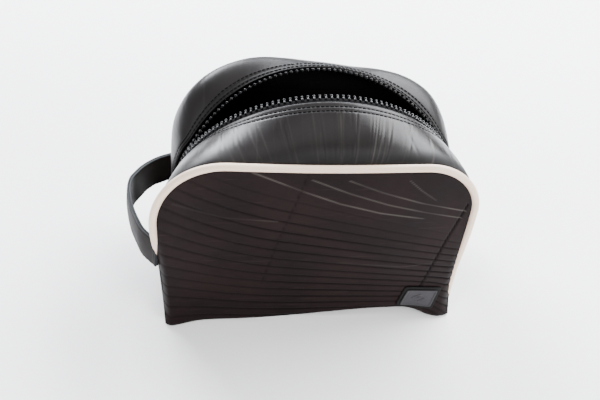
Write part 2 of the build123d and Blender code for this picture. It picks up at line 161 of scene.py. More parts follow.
class Outline:
    """Middle line of a panel's piping: up the left, over the top and down the right.

    Pairs are for the left and right ends: the radius of the upper corners, how far the ends
    draw in towards the ground, and how far the seam is tucked back round the bag's edge there.
    The top sags in its middle and may tilt; shrink sets the left, right and top inwards.
    """

    def __init__(self, side, radius, sag, draw_in, tuck, shrink=(0.0, 0.0, 0.0), tilt=0.0):
        low, high = box_mm(f"{side}_piping")
        self.side = side
        self.left = low[0] + PIPE_R + shrink[0]
        self.right = high[0] - PIPE_R - shrink[1]
        self.top = high[2] - PIPE_R - shrink[2]
        self.y = (low[1] + high[1]) / 2
        self.radius = radius
        self.sag = sag
        self.draw_in = draw_in
        self.tuck = tuck
        self.tilt = tilt

    def left_x(self, z):
        return self.left + self.draw_in[0] * np.clip(1 - z / DRAW_IN_TOP, 0, 1) ** 2

    def right_x(self, z):
        return self.right - self.draw_in[1] * np.clip(1 - z / DRAW_IN_TOP, 0, 1) ** 2

    def slip(self, z, x):
        """How far the seam has slipped back round the bag's edge low down."""
        mid = (self.left + self.right) / 2
        amount = np.where(x < mid, self.tuck[0], self.tuck[1])
        return amount * smooth((SLIP_TOP - z) / SLIP_SPAN)

    def seam_y(self, z, x):
        return self.y - FACING[self.side] * self.slip(z, x)

    def top_z(self, x, inset=0.0):
        """Height of the upper edge over x."""
        left = self.left + inset
        right = self.right - inset
        r_left = self.radius[0] - inset
        r_right = self.radius[1] - inset
        span = np.clip((x - left) / (right - left), 0, 1)
        sag = self.sag * np.sin(math.pi * span) ** 2
        crest = self.top - inset - sag + self.tilt * (1 - 2 * span)
        d_left = np.clip(r_left - (x - left), 0, r_left)
        d_right = np.clip(r_right - (right - x), 0, r_right)
        drop_left = r_left - np.sqrt(np.maximum(r_left**2 - d_left**2, 0))
        drop_right = r_right - np.sqrt(np.maximum(r_right**2 - d_right**2, 0))
        return crest - drop_left - drop_right

    def line(self, foot, count=420):
        """Points of the piping's middle line, evenly spaced, from its left foot to its right."""
        turn = np.linspace(0, math.pi / 2, RUN_POINTS)
        r_l, r_r = self.radius
        z_l = np.linspace(foot[0], self.top - r_l, RUN_POINTS)
        z_r = np.linspace(self.top - r_r, foot[1], RUN_POINTS)
        x = np.concatenate([
            self.left_x(z_l),
            self.left + r_l * (1 - np.cos(turn)),
            np.linspace(self.left + r_l, self.right - r_r, RUN_POINTS)[1:-1],
            self.right - r_r * (1 - np.sin(turn)),
            self.right_x(z_r),
        ])
        z = np.concatenate([
            z_l,
            self.top - r_l * (1 - np.sin(turn)),
            np.full(RUN_POINTS - 2, self.top),
            self.top - r_r * (1 - np.cos(turn)),
            z_r,
        ])
        span = np.clip((x - self.left) / (self.right - self.left), 0, 1)
        above = smooth((z - self.top + min(r_l, r_r)) / min(r_l, r_r))
        sag = self.sag * np.sin(math.pi * span) ** 2
        z = z - sag * above + self.tilt * (1 - 2 * span) * above
        points = np.stack([x, self.seam_y(z, x), z], 1)
        step = np.linalg.norm(np.diff(points, axis=0), axis=1)
        points = points[np.concatenate([[True], step > 1e-6])]
        step = np.linalg.norm(np.diff(points, axis=0), axis=1)
        along = np.concatenate([[0], np.cumsum(step)])
        even = np.linspace(0, along[-1], count)
        return np.stack([np.interp(even, along, points[:, k]) for k in range(3)], 1)

    def at_angle(self, angle, inset):
        """Seam point on a ray from the zip's centre, moved inwards by inset."""
        line = self.line(RAY_FOOT, RAY_POINTS)
        ray = np.degrees(np.arctan2(line[:, 0] - ZIP_X, line[:, 2] - ZIP_Z))
        point = np.stack([np.interp(angle, ray, line[:, k]) for k in range(3)], -1)
        toward = ZIP_CENTRE - point
        toward[..., 1] = 0
        return point + unit(toward) * inset


OUTLINES = {
    "front": Outline(
        "front", radius=(52.0, 42.0), sag=2.2, draw_in=(5.0, 0.0), tuck=(13.0, 4.0), tilt=1.3
    ),
    "back": Outline(
        "back",
        radius=(52.0, 66.0),
        sag=0.0,
        draw_in=(4.0, 3.0),
        tuck=(9.0, 9.0),
        shrink=(2.0, 4.5, 3.0),
    ),
}


# ---- the chain and the top strips ----
CHAIN_SOFT = 3.0  # rounding of the chain where it bends at the mouth's corners
LEAN_RISE = 22.0  # the tape turns to its full lean over this rise


def rise_of(angle, lift=0.0):
    """Height of the closed chain above the mouth line: as it is, and softened at zero."""
    rise = ZIP_Z + (ZIP_R + lift) * np.cos(np.radians(angle)) - MOUTH_Z
    return rise, CHAIN_SOFT * np.logaddexp(0, rise / CHAIN_SOFT)


def chain_point(side, angle, off=0.0, lift=0.0):
    """Point beside one half of the chain: off along its tape, lift out of it."""
    lean = LEAN[side]
    facing = FACING[side]
    rise, soft = rise_of(angle, lift)
    tip = abs(lean) * smooth(rise / LEAN_RISE + 0.5)
    x = ZIP_X + (ZIP_R + lift) * np.sin(np.radians(angle))
    y = facing * (soft * math.sin(abs(lean)) + off * np.cos(tip))
    z = MOUTH_Z + rise - soft * (1 - math.cos(lean)) - off * np.sin(tip)
    return np.stack(np.broadcast_arrays(x, y, z), -1)


# How far a strip stands out from the straight line between zip and seam, by angle.
FULLNESS = {
    "front": (
        (-84, -66, -45, -20, 0, 20, 45, 66, 84),
        (-2.5, 1.0, 5.0, 6.5, 6.0, 6.0, 4.5, 1.8, 0.8),
    ),
    "back": (
        (-84, -61, -45, -31, -15, 0, 15, 31, 51, 66, 84),
        (2.5, 12.0, 18.0, 19.5, 16.0, 11.5, 10.5, 12.3, 13.0, 6.5, -2.0),
    ),
}
BULGE_POWERS = {"front": (0.95, 0.5), "back": (1.0, 0.6)}
SEAM_SHARE = 0.94  # the rest of a strip is the allowance turned in under the panel
ALLOWANCE = 6.0
SEAM_INSET = 0.4
SEAM_GAP = 0.05


def strip_point(side, angle, share):
    """Outer surface of a top strip: 0 at the zip's edge, 1 at the end of its seam allowance."""
    s = np.clip(share / SEAM_SHARE, 0, 1)
    lip = chain_point(side, angle, STRIP_IN, STRIP_LIFT)
    seam = OUTLINES[side].at_angle(angle, SEAM_INSET)
    seam[..., 1] -= FACING[side] * (PIPE_R + SEAM_GAP)
    chord = seam - lip
    out = outward_from_zip(angle)
    out = unit(out - unit(chord) * np.sum(out * unit(chord), -1, keepdims=True))
    a, b = BULGE_POWERS[side]
    peak = a / (a + b)
    bump = s**a * (1 - s) ** b / (peak**a * (1 - peak) ** b)
    height = spline(angle, *FULLNESS[side]) * bump
    tail = np.clip((share - SEAM_SHARE) / (1 - SEAM_SHARE), 0, 1)
    inward = unit((ZIP_CENTRE - seam) * np.array([1.0, 0.0, 1.0]))
    point = lip + chord * s[..., None] + out * height[..., None]
    return point + inward * (ALLOWANCE * tail)[..., None]


# ---- meshes ----
EDGE_ROUND = 0.22  # a cut edge stands out by this share of its sheet's thickness


def add_object(name, data):
    obj = bpy.data.objects.new(name, data)
    bpy.context.scene.collection.objects.link(obj)
    return obj


def make_object(name, verts, faces, material):
    """Smooth object from millimetre vertices and faces, with one material."""
    mesh = bpy.data.meshes.new(name)
    mesh.from_pydata((np.asarray(verts) * MM).tolist(), [], faces)
    mesh.validate()
    mesh.materials.append(material)
    mesh.polygons.foreach_set("use_smooth", [True] * len(mesh.polygons))
    mesh.update()
    return add_object(name, mesh)


def grid_normals(grid):
    """Unit normals of a grid of points."""
    du = np.gradient(grid, axis=0)
    dv = np.gradient(grid, axis=1)
    return unit(np.cross(du, dv))


def grid_faces(rows, cols, start, flip):
    """Quads of a grid whose first vertex has the index start."""
    index = np.arange(rows * cols).reshape(rows, cols) + start
    corners = [index[:-1, :-1], index[1:, :-1], index[1:, 1:], index[:-1, 1:]]
    quads = np.stack(corners, -1).reshape(-1, 4)
    return (quads[:, ::-1] if flip else quads).tolist()


def rim_loop(rows, cols):
    """Indices round the edge of a grid, in order."""
    index = np.arange(rows * cols).reshape(rows, cols)
    return np.concatenate([index[:-1, 0], index[-1, :-1], index[:0:-1, -1], index[0, :0:-1]])


def make_sheet(name, outer, thickness, material, inward, round_edge=True):
    """Closed sheet from a grid of outer points, with an inner skin and a cut edge.

    inward is any direction that points from the outer face towards the inner one.
    """
    rows, cols, _ = outer.shape
    normal = grid_normals(outer)
    normal = normal * np.sign(np.sum(normal * np.array(inward), -1, keepdims=True).mean())
    inner = outer + normal * thickness
    loop = rim_loop(rows, cols)
    flat_outer = outer.reshape(-1, 3)
    flat_inner = inner.reshape(-1, 3)
    verts = [flat_outer, flat_inner]
    size = rows * cols
    facing_out = np.sum(grid_normals(outer) * normal, -1).mean() < 0
    faces = grid_faces(rows, cols, 0, flip=not facing_out)
    faces += grid_faces(rows, cols, size, flip=facing_out)
    count = len(loop)
    if round_edge:
        middle = (flat_outer[loop] + flat_inner[loop]) / 2
        ahead = np.roll(middle, -1, 0) - np.roll(middle, 1, 0)
        side = unit(np.cross(ahead, flat_inner[loop] - flat_outer[loop]))
        centre = middle.mean(0)
        if np.sum(side * (middle - centre), -1).mean() < 0:
            side = -side
        verts.append(middle + side * thickness * EDGE_ROUND)
        mids = np.arange(count) + 2 * size
        rings = [(loop, mids), (mids, loop + size)]
    else:
        rings = [(loop, loop + size)]
    for near, far in rings:
        for k in range(count):
            j = (k + 1) % count
            quad = [int(near[k]), int(near[j]), int(far[j]), int(far[k])]
            faces.append(quad if not facing_out else quad[::-1])
    obj = make_object(name, np.concatenate(verts), faces, material)
    fix_normals(obj)
    return obj


def paint_part(obj, material, cells, part):
    """Gives the inner skin (part 1) or the cut edge (part 2) of a sheet its own material."""
    obj.data.materials.append(material)
    index = len(obj.data.materials) - 1
    for polygon in obj.data.polygons:
        if min(polygon.index // cells, 2) == part:
            polygon.material_index = index


def cells_of(grid):
    return (grid.shape[0] - 1) * (grid.shape[1] - 1)


def fix_normals(obj):
    mesh = bmesh.new()
    mesh.from_mesh(obj.data)
    bmesh.ops.recalc_face_normals(mesh, faces=mesh.faces)
    mesh.to_mesh(obj.data)
    mesh.free()


def make_tube(name, line, radius, material, sides):
    """Round closed tube along a line of points."""
    tangent = unit(np.gradient(line, axis=0))
    side = np.cross(tangent, (0.0, 1.0, 0.0))
    weak = np.linalg.norm(side, axis=1) < 0.2
    side[weak] = np.cross(tangent[weak], (1.0, 0.0, 0.0))
    side = unit(side)
    other = np.cross(tangent, side)
    turn = np.linspace(0, 2 * math.pi, sides, endpoint=False)
    across = side[:, None] * np.cos(turn)[None, :, None]
    ring = (across + other[:, None] * np.sin(turn)[None, :, None]) * radius
    verts = (line[:, None] + ring).reshape(-1, 3)
    faces = []
    for i in range(len(line) - 1):
        for k in range(sides):
            j = (k + 1) % sides
            faces.append([i * sides + k, i * sides + j, (i + 1) * sides + j, (i + 1) * sides + k])
    faces.append(list(range(sides))[::-1])
    faces.append([(len(line) - 1) * sides + k for k in range(sides)])
    obj = make_object(name, verts, faces, material)
    fix_normals(obj)
    return obj


def join_copies(name, shape_verts, shape_faces, frames, material):
    """One mesh of many copies of a small shape; frames are (origin, x, y, z) arrays."""
    origins, xs, ys, zs = frames
    local = np.asarray(shape_verts, float)
    verts = (
        origins[:, None]
        + local[None, :, 0:1] * xs[:, None]
        + local[None, :, 1:2] * ys[:, None]
        + local[None, :, 2:3] * zs[:, None]
    ).reshape(-1, 3)
    size = len(local)
    faces = [[v + i * size for v in face] for i in range(len(origins)) for face in shape_faces]
    return make_object(name, verts, faces, material)


def fix_to_bag(piece, node):
    """A piece that rides on the bag's own body, in place of one CAD node."""
    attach(piece, "bag")
    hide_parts(node)


# ---- materials ----
class Nodes:
    """Small helper for building a material's node tree."""

    def __init__(self, name):
        self.material = bpy.data.materials.new(name)
        self.material.use_nodes = True
        self.tree = self.material.node_tree
        self.tree.nodes.clear()
        self.shader = self.tree.nodes.new("ShaderNodeBsdfPrincipled")
        output = self.tree.nodes.new("ShaderNodeOutputMaterial")
        self.tree.links.new(self.shader.outputs[0], output.inputs[0])

    def feed(self, socket, value):
        """Links another node's output to a socket, or sets the socket's own value."""
        if hasattr(value, "is_output"):
            self.tree.links.new(value, socket)
        else:
            socket.default_value = value

    def add(self, kind, **inputs):
        node = self.tree.nodes.new(kind)
        for key, value in inputs.items():
            self.feed(node.inputs[key], value)
        return node

    def link(self, output, name):
        self.tree.links.new(output, self.shader.inputs[name])

    def set(self, **values):
        for key, value in values.items():
            self.shader.inputs[key.replace("_", " ")].default_value = value

    def coords(self, scale):
        """Object coordinates stretched by scale, in millimetres."""
        where = self.add("ShaderNodeTexCoord")
        mapping = self.add("ShaderNodeMapping", Vector=where.outputs["Object"])
        mapping.inputs["Scale"].default_value = [s / MM for s in scale]
        return mapping.outputs[0]

    def noise(self, scale, detail, rough=0.55):
        node = self.add("ShaderNodeTexNoise", Vector=self.coords(scale))
        node.inputs["Scale"].default_value = 1.0
        node.inputs["Detail"].default_value = detail
        node.inputs["Roughness"].default_value = rough
        return node.outputs["Fac"]

    def ramp(self, fac, stops):
        node = self.add("ShaderNodeValToRGB", Fac=fac)
        ramp = node.color_ramp
        while len(ramp.elements) < len(stops):
            ramp.elements.new(0.5)
        for element, (place, colour) in zip(ramp.elements, stops):
            element.position = place
            element.color = (*colour, 1)
        return node.outputs["Color"]

    def math(self, operation, a, b=0.0):
        node = self.tree.nodes.new("ShaderNodeMath")
        node.operation = operation
        for socket, value in zip(node.inputs, (a, b)):
            self.feed(socket, value)
        return node.outputs[0]

    def mix(self, fac, a, b):
        node = self.tree.nodes.new("ShaderNodeMix")
        node.data_type = "RGBA"
        for index, value in ((0, fac), (6, a), (7, b)):
            self.feed(node.inputs[index], (*value, 1) if isinstance(value, tuple) else value)
        return node.outputs[2]

    def bump(self, height, strength, distance):
        """Fine relief of a height up to distance, in millimetres."""
        node = self.add("ShaderNodeBump", Height=height)
        node.inputs["Strength"].default_value = strength
        node.inputs["Distance"].default_value = distance * MM
        self.link(node.outputs[0], "Normal")

    def attribute(self, name):
        node = self.tree.nodes.new("ShaderNodeAttribute")
        node.attribute_name = name
        return node.outputs["Fac"]


BLACK = (0.0, 0.0, 0.0)
WHITE = (1.0, 1.0, 1.0)
SCRATCH_COLOUR = (0.060, 0.052, 0.047)
CLOUD_SCALE = 0.018  # noise repeats per millimetre
SMUDGE_SCALE = 0.035
GRAIN_SCALE = 1.6
PATCH_SCALE = 0.12
FUZZ_SCALE = 0.5
THREAD_WAVE = 0.32
SCUFF_FROM = 0.60
SCUFF_FULL = 0.72


def times(colour, factor):
    return tuple(min(c * factor, 1) for c in colour)


def rubber_material(name, dark, pale, rough, streak, shade_and_scratches=False, dust=0.5, gloss=0.3):
    """Worn inner-tube rubber: uneven brown-black, streaks drawn along one direction, fine grain.

    Switched on, painted shade from a vertex attribute darkens its grooves, seams, stitch dents and
    the strip beside the piping and makes those places duller; its scratches are pale.
    """
    n = Nodes(name)
    clouds = n.noise((CLOUD_SCALE,) * 3, 4.0)
    colour = n.mix(n.ramp(clouds, ((0.35, BLACK), (0.65, WHITE))), dark, pale)
    lines = n.noise(streak, 4.0, 0.7)
    scuff = n.ramp(lines, ((SCUFF_FROM, BLACK), (SCUFF_FULL, WHITE)))
    dusty = tuple(c * 1.8 + 0.005 for c in pale)
    colour = n.mix(n.math("MULTIPLY", scuff, dust), colour, dusty)
    if shade_and_scratches:
        painted_shade = n.attribute("painted_shade")
        # painted shade: the attribute pulls the colour down towards a tenth of the dark tone
        colour = n.mix(n.math("MULTIPLY", painted_shade, 0.95), colour, times(dark, 0.1))
        scratch = n.attribute("scratch")
        colour = n.mix(n.math("MULTIPLY", scratch, 0.9), colour, SCRATCH_COLOUR)
    n.link(colour, "Base Color")
    smudge = n.noise((SMUDGE_SCALE,) * 3, 5.0, 0.6)
    wear = n.math("MULTIPLY_ADD", smudge, 0.30)
    wear.node.inputs[2].default_value = rough - 0.15
    worn = n.math("ADD", wear, n.math("MULTIPLY", scuff, 0.08))
    if shade_and_scratches:
        worn = n.math("ADD", worn, n.math("MULTIPLY", painted_shade, 0.5))
    n.link(worn, "Roughness")
    n.set(Specular_IOR_Level=gloss, IOR=1.5)
    grain = n.noise((GRAIN_SCALE,) * 3, 2.0)
    height = n.math("ADD", n.math("MULTIPLY", grain, 0.5), n.math("MULTIPLY", lines, 0.9))
    n.bump(height, 0.35, 0.12)
    return n.material


def plain_material(
    name, colour, rough, grain_scale, grain, metallic=0.0, vary=0.25, coat=0.0, gloss=0.5
):
    """Moulded, cast or coated surface with slight mottling and a fine grain."""
    n = Nodes(name)
    patch = n.noise((PATCH_SCALE,) * 3, 3.0)
    n.link(n.mix(patch, times(colour, 1 - vary), times(colour, 1 + vary)), "Base Color")
    fine = n.noise((grain_scale,) * 3, 2.0)
    n.link(n.math("ADD", n.math("MULTIPLY", fine, 0.12), rough - 0.06), "Roughness")
    n.set(Metallic=metallic, Coat_Weight=coat, Coat_Roughness=0.2, Specular_IOR_Level=gloss)
    n.bump(fine, 0.3, grain)
    return n.material


def weave_material(name, colour, pitch):
    """Woven tape or cloth: crossed threads under a little fuzz, quite matt."""
    n = Nodes(name)
    where = n.coords((1 / pitch,) * 3)
    bands = []
    for direction in ("X", "Y", "Z"):
        wave = n.add("ShaderNodeTexWave", Vector=where)
        wave.bands_direction = direction
        wave.inputs["Scale"].default_value = THREAD_WAVE
        bands.append(wave.outputs["Fac"])
    threads = n.math("MAXIMUM", n.math("MULTIPLY", bands[0], bands[1]), bands[2])
    fuzz = n.noise((FUZZ_SCALE,) * 3, 4.0)
    shade = n.mix(threads, times(colour, 0.5), times(colour, 1.5))
    n.link(n.mix(n.math("MULTIPLY", fuzz, 0.4), shade, times(colour, 2.2)), "Base Color")
    n.link(n.math("ADD", n.math("MULTIPLY", fuzz, 0.15), 0.75), "Roughness")
    n.set(Specular_IOR_Level=0.05)
    n.bump(n.math("ADD", threads, fuzz), 0.5, 0.15)
    return n.material


# A streak's three numbers are its noise repeats per millimetre along X, Y and Z.
ACROSS_STRIP = (0.30, 0.012, 0.012)
PANEL_RUBBER = rubber_material(
    "panel_rubber",
    dark=(0.0036, 0.0012, 0.0012),
    pale=(0.0078, 0.0032, 0.0032),
    rough=0.48,
    streak=(0.02, 0.3, 0.35),
    shade_and_scratches=True,
    gloss=0.08,
)
BACK_RUBBER = rubber_material(
    "back_strip_rubber",
    dark=(0.0032, 0.0020, 0.0020),
    pale=(0.0060, 0.0044, 0.0043),
    rough=0.40,
    streak=ACROSS_STRIP,
    shade_and_scratches=True,
    gloss=0.22,
)
STRIP_RUBBER = rubber_material(
    "strip_rubber",
    dark=(0.0032, 0.0018, 0.0018),
    pale=(0.0062, 0.0042, 0.0042),
    rough=0.34,
    streak=ACROSS_STRIP,
    shade_and_scratches=True,
    gloss=0.25,
)
SIDE_RUBBER = rubber_material(
    "side_rubber",
    dark=(0.005, 0.0034, 0.0033),
    pale=(0.009, 0.0065, 0.0063),
    rough=0.5,
    streak=(0.3, 0.3, 0.02),
    gloss=0.15,
)
STRAP_RUBBER = rubber_material(
    "strap_rubber",
    dark=(0.0035, 0.0022, 0.0022),
    pale=(0.0100, 0.0075, 0.0070),
    rough=0.55,
    streak=(0.25, 0.25, 0.03),
    dust=0.9,
    gloss=0.1,
)
# The strap's cut edges: a lighter, bluer copy of its rubber, a painted highlight where the edges
# catch the light.
EDGE_HIGHLIGHT_RUBBER = rubber_material(
    "edge_painted_highlight_rubber",
    dark=(0.008, 0.0085, 0.010),
    pale=(0.017, 0.018, 0.020),
    rough=0.6,
    streak=(0.2, 0.2, 0.2),
    dust=0.2,
)
PIPING = plain_material("cream_piping", (0.72, 0.55, 0.43), 0.45, 0.9, 0.06, vary=0.05, gloss=0.4)
TEETH = plain_material("moulded_teeth", (0.003, 0.003, 0.0035), 0.28, 2.0, 0.02, gloss=0.2)
TAPE = weave_material("zip_tape_cloth", (0.0030, 0.0028, 0.0030), 0.6)
THREAD = plain_material("black_thread", (0.0015, 0.0014, 0.0014), 0.7, 3.0, 0.1, gloss=0.05)
METAL = plain_material(
    "black_enamel", (0.015, 0.015, 0.017), 0.28, 1.5, 0.02, metallic=0.6, coat=0.4
)
LINING = weave_material("lining_cloth", (0.0012, 0.0011, 0.0012), 0.9)
BOARD = plain_material("stiffener_board", (0.02, 0.02, 0.02), 0.6, 0.8, 0.05)
LABEL_BACK = plain_material("label_rubber", (0.004, 0.0035, 0.0035), 0.6, 1.2, 0.08, gloss=0.12)
LABEL_FACE = plain_material(
    "label_plate_grey", (0.025, 0.023, 0.026), 0.5, 1.5, 0.05, vary=0.15, gloss=0.2
)


# ---- walls: front and back panels ----
def distance_to(x, z, path):
    """Distance of points from a polyline in the XZ plane."""
    best = np.full(np.broadcast(x, z).shape, 1e6)
    for (ax, az), (bx, bz) in zip(path[:-1], path[1:]):
        dx, dz = bx - ax, bz - az
        t = np.clip(((x - ax) * dx + (z - az) * dz) / (dx * dx + dz * dz), 0, 1)
        best = np.minimum(best, np.hypot(x - ax - t * dx, z - az - t * dz))
    return best


# Paths of (x, z) points over the front panel, each with its strength: two seams of the tube,
# and the long scratches near the top.
SEAM_LINES = (
    (((109.5, 117), (100, 82), (88.5, 32)), 1.0),
    (((-11, 145), (-17, 122), (-27, 90), (-38, 42)), 0.45),
)
SCRATCHES = (
    (((-49, 147), (-12.6, 130.5), (14, 119.7), (45, 110.6), (78, 104.5)), 1.0),
    (((-8, 141), (20, 129), (50, 118.2), (78, 110.6), (107, 104)), 0.8),
    (((19, 140), (44, 129.6), (74, 119.4), (109, 110.6)), 1.0),
    (((62, 140), (72, 131), (84, 122)), 0.5),
    (((-104, 120), (-70, 108), (-30, 104)), 0.3),
    (((20, 62), (70, 55), (108, 60)), 0.25),
)
SEAM_WIDTH = 0.75
SCRATCH_WIDTH = 0.45
GROOVE_DEPTH = 0.6
BACK_BOTTOM = 0.6
FRONT_BOTTOM = (
    (-114, -70, -48, -20, 8, 35, 62, 86, 99, 113),
    (0, 0.2, 1.2, 3.2, 5.0, 6.8, 7.2, 6.0, 1.6, 0),
)

# The moulded lines: they spread by LINE_FAN per millimetre to the left of LINE_START, and
# there are LINE_RATE of them for each e-fold of height above -LINE_REACH.
LINE_START = 70.0
LINE_FAN = 0.00287
LINE_LIFT = 0.28
LINE_RATE = 30.5
LINE_REACH = 153.0
LINE_WIDTH = 0.8
LINE_TOP = 106.0  # the lines fade out over LINE_FADE below this height
LINE_FADE = 22.0
LINE_DEPTH = 0.8


def bottom_z(side, x):
    """Height of a panel's lower edge; the front one lifts off the ground between its corners."""
    if side == "back":
        return BACK_BOTTOM + 0 * x
    return spline(x, *FRONT_BOTTOM)


def moulded_lines(x, z):
    """Depth 0..1 of the shallow lines moulded into the front rubber; they climb to the left."""
    fan = 1 + LINE_FAN * (LINE_START - x)
    # The low lines climb further at the far left, and the lowest bend up at the right end.
    lift = LINE_LIFT * np.clip((-25 - x) / 90, 0, 1) ** 2
    height = z / (fan + lift)
    height = z / (fan + lift * np.clip(60 / np.maximum(height, 1), 0, 1))
    height = height + 0.02 * np.clip(x - 88, 0, None) ** 2 * np.clip(1 - z / 45, 0, 1)
    count = LINE_RATE * np.log1p(np.maximum(height, 0) / LINE_REACH)
    gap = (LINE_REACH + height) / LINE_RATE * fan
    near = np.abs(count - np.round(count)) * gap
    # They are uneven, fade towards the top, sooner at the right, and are fainter at the left.
    fade = smooth((LINE_TOP - height) / LINE_FADE) * (0.85 + 0.3 * waves(x, z * 2, 11, 90))
    upper_right = smooth((x - 20) / 60) * smooth((height - 78) / 16)
    fade = fade * (1 - 0.75 * upper_right) * (1 - 0.3 * smooth(-x / 80))
    return ridge(near, LINE_WIDTH) * np.clip(fade, 0, 1) * (count > 0.4)


def front_marks(x, z):
    """Depth of the moulded lines and seams, and strength of the scratches, on the front panel."""
    cut = moulded_lines(x, z) * LINE_DEPTH
    for path, weight in SEAM_LINES:
        cut = np.maximum(cut, ridge(distance_to(x, z, path), SEAM_WIDTH) * weight)
    broken = np.clip(0.8 + 0.6 * waves(x, z, 21, 30), 0.35, 1)
    scratch = np.zeros(x.shape)
    for path, weight in SCRATCHES:
        mark = ridge(distance_to(x, z, path), SCRATCH_WIDTH)
        scratch = np.maximum(scratch, mark * weight * broken)
    return cut, scratch


ROLL_REACH = 8.0  # the panel's ends roll back over this width
BULGE = 3.0
PANEL_WAVE = 0.9
FOOT_SWELL = 6.5
UNDERCUT = 2.2
KICK = ((-114, -60, 0, 60, 113), (3.0, 4.0, 3.2, 2.6, 0.3))  # how far the front's foot stands out


def panel_y(side, x, z):
    """Outer face of a panel, with its fullness, waviness and edges that roll back low down."""
    o = OUTLINES[side]
    wide = (x - (o.left + o.right) / 2) / ((o.right - o.left) / 2)
    arch = np.clip(np.sin(math.pi * np.clip(z / o.top, 0, 1)), 0, 1) ** 0.8
    bulge = BULGE * np.clip(1 - wide**2, 0, 1) * arch
    calm = np.clip(1 - wide**4, 0, 1) * np.clip((o.top - z) / 25, 0, 1) ** 0.8
    wave = PANEL_WAVE * waves(x, z, 3 if side == "front" else 4, 120) * calm
    foot = FOOT_SWELL * ridge(np.abs(wide) - 0.93, 0.16) * np.clip(1 - z / 34, 0, 1) ** 1.5
    corner = 0.3 + 0.7 * smooth(z / 15)
    near_left = np.clip(1 - (x - o.left_x(z)) / ROLL_REACH, 0, 1) ** 2
    near_right = np.clip(1 - (o.right_x(z) - x) / ROLL_REACH, 0, 1) ** 2
    roll_left = o.slip(z, o.left) * corner * near_left
    roll_right = o.slip(z, o.right) * corner * near_right
    kick = 0 * x
    if side == "front":
        kick = spline(x, *KICK) * np.clip(1 - z / 45, 0, 1) ** 1.6
    under = UNDERCUT * np.clip(1 - (z - bottom_z(side, x)) / 4.0, 0, 1) ** 2.2
    out = HALF_DEPTH + bulge + wave + foot + kick - roll_left - roll_right - under
    return FACING[side] * out


def panel_grid(side, columns, rows, inset=1.6):
    """Grid over a panel's face, from left to right and from bottom to top."""
    o = OUTLINES[side]
    u = end_spacing(columns, 0.45)
    v = np.linspace(0, 1, rows)
    x0 = o.left + inset + u * (o.right - o.left - 2 * inset)
    top = o.top_z(x0, inset)
    low = bottom_z(side, x0)
    z = low[:, None] + v[None, :] * (top - low)[:, None]
    pull_in = np.where(u[:, None] < 0.5, o.left_x(z) - o.left, o.right_x(z) - o.right)
    swell = 2.6 * smooth((u[:, None] - 0.8) / 0.2) * np.clip(1 - z / 90, 0, 1)
    x = x0[:, None] + pull_in * np.abs(2 * u[:, None] - 1) ** 3 + swell * (side == "front")
    return np.stack([x, panel_y(side, x, z), z], -1)


def set_attribute(obj, name, values):
    """One value for each vertex of a sheet's outer face, and 0 for the others."""
    layer = obj.data.attributes.new(name, "FLOAT", "POINT")
    full = np.zeros(len(obj.data.vertices), np.float32)
    flat = np.asarray(values, np.float32).ravel()
    full[: len(flat)] = flat
    layer.data.foreach_set("value", full)


PANEL_CELLS = {"front": (164, 300), "back": (90, 80)}
PIPE_FOOT = {"front": (13.0, 4.5), "back": (13.0, 13.0)}
PIPE_SLIP = 0.33  # share of the slip by which the piping moves in along X

for side in ("front", "back"):
    grid = panel_grid(side, *PANEL_CELLS[side])
    cut = scratch = np.zeros(grid.shape[:2])
    if side == "front":
        cut, scratch = front_marks(grid[..., 0], grid[..., 2])
        grid[..., 1] += GROOVE_DEPTH * cut
    inward = (0, -FACING[side], 0)
    panel = make_sheet(f"{side}_panel_skin", grid, RUBBER, PANEL_RUBBER, inward)
    paint_part(panel, LINING, cells_of(grid), 1)
    # The groove depth also serves as painted shade that darkens the moulded lines and seams.
    set_attribute(panel, "painted_shade", cut)
    set_attribute(panel, "scratch", scratch)
    fix_to_bag(panel, f"{side}_panel")

    line = OUTLINES[side].line(PIPE_FOOT[side])
    line[:, 0] -= np.sign(line[:, 0]) * OUTLINES[side].slip(line[:, 2], line[:, 0]) * PIPE_SLIP
    piping = make_tube(f"{side}_piping_cover", line, PIPE_R, PIPING, sides=22)
    fix_to_bag(piping, f"{side}_piping")
    core = make_tube(f"{side}_piping_core", line[1:-1], CORE_R, THREAD, sides=10)
    fix_to_bag(core, f"{side}_piping_cord")

# ---- top strips ----
STITCH_REACH = {"front": (3.4, 6.8), "back": (1.5, 3.9)}  # rows of stitches, from the free edge
STRIP_REACH = 48.0  # distance across a strip that a share of 1 stands for
STITCH_DIP = 0.32
STITCH_PITCH = 3.3
LINE_RELIEF = {"front": 0.15, "back": 0.075}
RIPPLE_SEEDS = {"front": (31, 41), "back": (32, 42)}

# Fine lines drawn across the strips: the angle of each, its depth and how far it slants.
DRAWN_COUNT = 66
rng = np.random.default_rng(7)
drawn_places = np.sort(rng.uniform(-80, 80, DRAWN_COUNT))
drawn_depths = rng.uniform(0.2, 1.0, DRAWN_COUNT)
drawn_slants = rng.uniform(-0.8, 0.8, DRAWN_COUNT)
DRAWN_LINES = tuple(zip(drawn_places, drawn_depths, drawn_slants))


def drawn_lines(angle, s):
    """Height -1..1 of the fine lines that run across a strip, from its zip edge to the panel."""
    total = np.zeros(np.broadcast(angle, s).shape)
    for place, depth, slant in DRAWN_LINES:
        off = angle - place - slant * (s - 0.5)
        total = total - depth * ridge(off, 0.32) + 0.6 * depth * ridge(off - 0.9, 0.5)
    crease = ridge(angle - 25 - 12 * s, 0.55) * np.clip(s * 4, 0, 1)
    return total - crease


